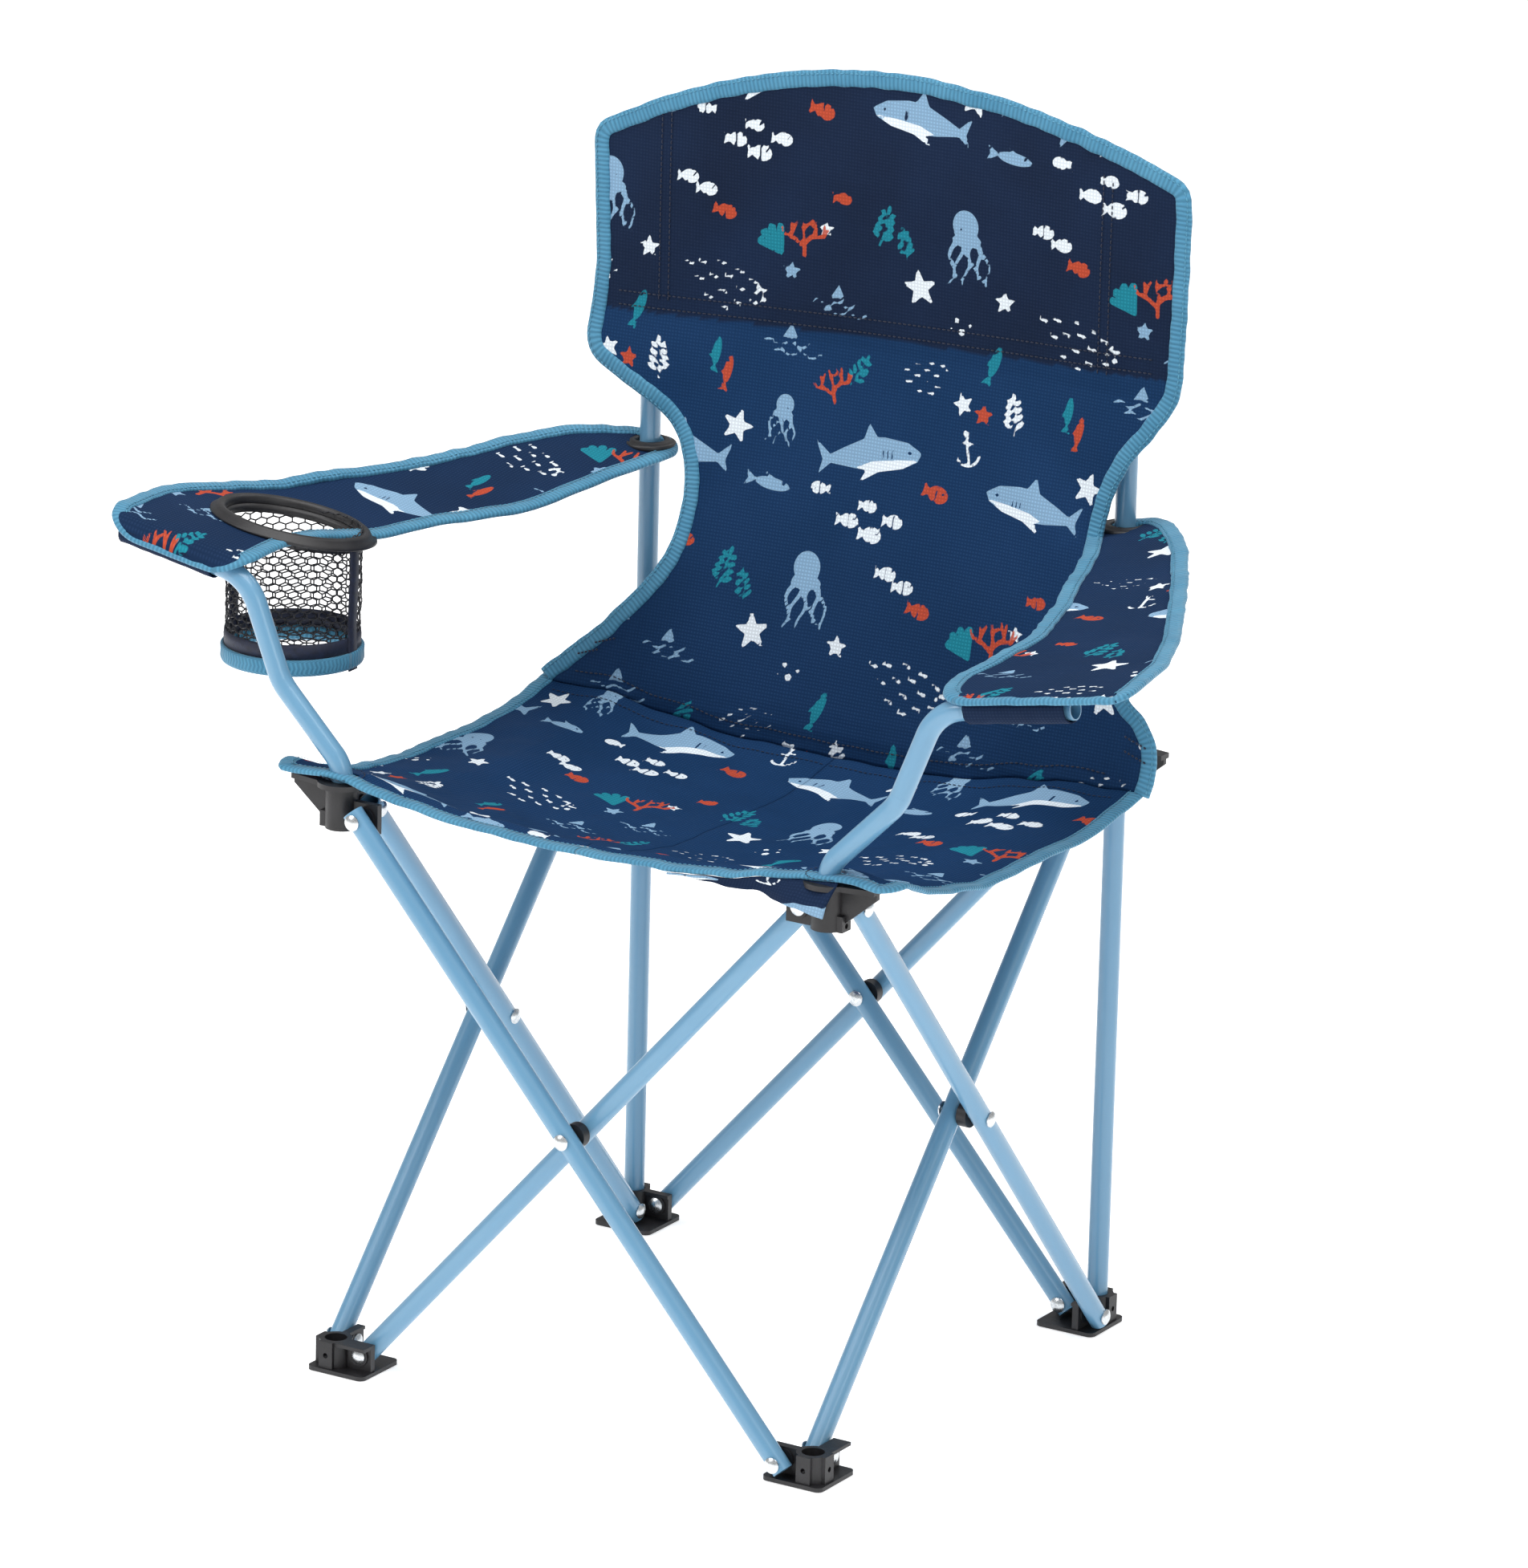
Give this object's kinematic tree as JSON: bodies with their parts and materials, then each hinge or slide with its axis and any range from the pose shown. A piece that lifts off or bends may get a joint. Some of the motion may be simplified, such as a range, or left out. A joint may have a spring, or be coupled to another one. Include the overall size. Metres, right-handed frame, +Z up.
{
  "type": "folding camp chair",
  "caption": "Folding camp chair with a scissor frame of light blue tubes, a printed fabric seat and back, armrests and a net cup holder.",
  "frame": {"origin": "on the floor, midway between the four corner posts", "axes": "+Z up, the chair's front faces -Y, the cup holder is on the -X side"},
  "size_m": [0.644, 0.349, 0.7],
  "materials": {
    "tube": "light blue powder coat, satin",
    "plastic": "black moulded nylon, fine satin grain",
    "rivet": "bright zinc plated steel",
    "print": "navy woven polyester with a printed sea pattern",
    "print_light": "blue woven polyester with a printed sea pattern",
    "tape": "light blue ribbed binding tape",
    "mesh": "black open net"
  },
  "bodies": {
    "rear_left_foot": {"foot_rear_left": "plastic", "foot_rivets_rear_left": "rivet", "back_post_left": "tube", "back_post_pins_left": "plastic", "back_panel": "print_light", "back_pocket_band": "print", "back_tape": "tape"},
    "rear_outer": {"rear_outer_tube": "tube", "rear_spacer": "plastic", "rear_cross_rivet": "rivet"},
    "rear_inner": {"rear_inner_tube": "tube"},
    "rear_right_foot": {"foot_rear_right": "plastic", "foot_rivets_rear_right": "rivet", "back_post_right": "tube", "back_post_pins_right": "plastic"},
    "rear_right_hub": {"hub_rear_right": "plastic", "hub_rivets_rear_right": "rivet", "eyelet_right": "plastic"},
    "rear_left_hub": {"hub_rear_left": "plastic", "hub_rivets_rear_left": "rivet", "eyelet_left": "plastic"},
    "left_inner": {"left_inner_tube": "tube", "left_spacer": "plastic", "left_cross_rivet": "rivet"},
    "left_outer": {"left_outer_tube": "tube"},
    "front_left_hub": {"hub_front_left": "plastic", "hub_rivets_front_left": "rivet", "arm_post_left": "tube", "arm_post_pin_left": "plastic", "armrest_left": "print", "armrest_tape_left": "tape", "cup_rim": "plastic", "cup_basket": "mesh", "cup_basket_hem": "tape"},
    "front_left_foot": {"foot_front_left": "plastic", "foot_rivets_front_left": "rivet"},
    "right_outer": {"right_outer_tube": "tube", "right_spacer": "plastic", "right_cross_rivet": "rivet"},
    "right_inner": {"right_inner_tube": "tube"},
    "front_right_hub": {"hub_front_right": "plastic", "hub_rivets_front_right": "rivet", "arm_post_right": "tube", "arm_post_pin_right": "plastic", "armrest_right": "print", "armrest_tape_right": "tape"},
    "front_right_foot": {"foot_front_right": "plastic", "foot_rivets_front_right": "rivet"},
    "front_outer": {"front_outer_tube": "tube", "front_spacer": "plastic", "front_cross_rivet": "rivet"},
    "front_inner": {"front_inner_tube": "tube"},
    "seat_half_left": {"seat_left": "print", "seat_tape_left": "tape"},
    "seat_half_right": {"seat_right": "print", "seat_tape_right": "tape"}
  },
  "joints": [
    {"name": "fold", "type": "hinge", "parent": "rear_left_foot", "child": "rear_outer", "pos_m": [-0.14, 0.1663, 0.011], "axis": [0, -1, 0], "range_deg": [0, 38.5], "deforming": ["back_panel", "back_pocket_band", "back_tape", "armrest_left", "armrest_tape_left", "armrest_right", "armrest_tape_right", "seat_left", "seat_right", "seat_tape_left", "seat_tape_right"]},
    {"name": "rear_cross", "type": "hinge", "parent": "rear_outer", "child": "rear_inner", "pos_m": [0, 0.157, 0.169], "axis": [0, 1, 0], "range_deg": [0, 77]},
    {"name": "rear_right_foot_pivot", "type": "hinge", "parent": "rear_inner", "child": "rear_right_foot", "pos_m": [0.14, 0.1477, 0.011], "axis": [0, -1, 0], "range_deg": [0, 38.5]},
    {"name": "rear_right_hub_pivot", "type": "hinge", "parent": "rear_outer", "child": "rear_right_hub", "pos_m": [0.14, 0.1663, 0.327], "axis": [0, 1, 0], "range_deg": [0, 38.5]},
    {"name": "rear_left_hub_pivot", "type": "hinge", "parent": "rear_inner", "child": "rear_left_hub", "pos_m": [-0.14, 0.1477, 0.327], "axis": [0, -1, 0], "range_deg": [0, 38.5]},
    {"name": "left_inner_pivot", "type": "hinge", "parent": "rear_left_foot", "child": "left_inner", "pos_m": [-0.1477, 0.14, 0.011], "axis": [-1, 0, 0], "range_deg": [0, 38.5]},
    {"name": "left_cross", "type": "hinge", "parent": "left_inner", "child": "left_outer", "pos_m": [-0.157, 0, 0.169], "axis": [1, 0, 0], "range_deg": [0, 77]},
    {"name": "front_left_hub_pivot", "type": "hinge", "parent": "left_inner", "child": "front_left_hub", "pos_m": [-0.1477, -0.14, 0.327], "axis": [1, 0, 0], "range_deg": [0, 38.5]},
    {"name": "front_left_foot_pivot", "type": "hinge", "parent": "left_outer", "child": "front_left_foot", "pos_m": [-0.1663, -0.14, 0.011], "axis": [-1, 0, 0], "range_deg": [0, 38.5]},
    {"name": "right_outer_pivot", "type": "hinge", "parent": "rear_right_foot", "child": "right_outer", "pos_m": [0.1663, 0.14, 0.011], "axis": [-1, 0, 0], "range_deg": [0, 38.5]},
    {"name": "right_cross", "type": "hinge", "parent": "right_outer", "child": "right_inner", "pos_m": [0.157, 0, 0.169], "axis": [1, 0, 0], "range_deg": [0, 77]},
    {"name": "front_right_hub_pivot", "type": "hinge", "parent": "right_outer", "child": "front_right_hub", "pos_m": [0.1663, -0.14, 0.327], "axis": [1, 0, 0], "range_deg": [0, 38.5]},
    {"name": "front_right_foot_pivot", "type": "hinge", "parent": "right_inner", "child": "front_right_foot", "pos_m": [0.1477, -0.14, 0.011], "axis": [-1, 0, 0], "range_deg": [0, 38.5]},
    {"name": "front_outer_pivot", "type": "hinge", "parent": "front_left_hub", "child": "front_outer", "pos_m": [-0.14, -0.1663, 0.327], "axis": [0, 1, 0], "range_deg": [0, 38.5]},
    {"name": "front_cross", "type": "hinge", "parent": "front_outer", "child": "front_inner", "pos_m": [0, -0.157, 0.169], "axis": [0, -1, 0], "range_deg": [0, 77]},
    {"name": "seat_left_fold", "type": "hinge", "parent": "rear_left_hub", "child": "seat_half_left", "pos_m": [-0.157, 0, 0.346], "axis": [0, -1, 0], "range_deg": [0, 79.66]},
    {"name": "seat_right_fold", "type": "hinge", "parent": "rear_right_hub", "child": "seat_half_right", "pos_m": [0.157, 0, 0.346], "axis": [0, 1, 0], "range_deg": [0, 79.66]}
  ],
  "couplings": [
    {"joint": "rear_cross", "follows": "fold", "ratio": 2},
    {"joint": "rear_right_foot_pivot", "follows": "fold", "ratio": 1},
    {"joint": "rear_right_hub_pivot", "follows": "fold", "ratio": 1},
    {"joint": "rear_left_hub_pivot", "follows": "fold", "ratio": 1},
    {"joint": "left_inner_pivot", "follows": "fold", "ratio": 1},
    {"joint": "left_cross", "follows": "fold", "ratio": 2},
    {"joint": "front_left_hub_pivot", "follows": "fold", "ratio": 1},
    {"joint": "front_left_foot_pivot", "follows": "fold", "ratio": 1},
    {"joint": "right_outer_pivot", "follows": "fold", "ratio": 1},
    {"joint": "right_cross", "follows": "fold", "ratio": 2},
    {"joint": "front_right_hub_pivot", "follows": "fold", "ratio": 1},
    {"joint": "front_right_foot_pivot", "follows": "fold", "ratio": 1},
    {"joint": "front_outer_pivot", "follows": "fold", "ratio": 1},
    {"joint": "front_cross", "follows": "fold", "ratio": 2},
    {"joint": "seat_left_fold", "follows": "fold", "ratio": 2.069},
    {"joint": "seat_right_fold", "follows": "fold", "ratio": 2.069}
  ]
}
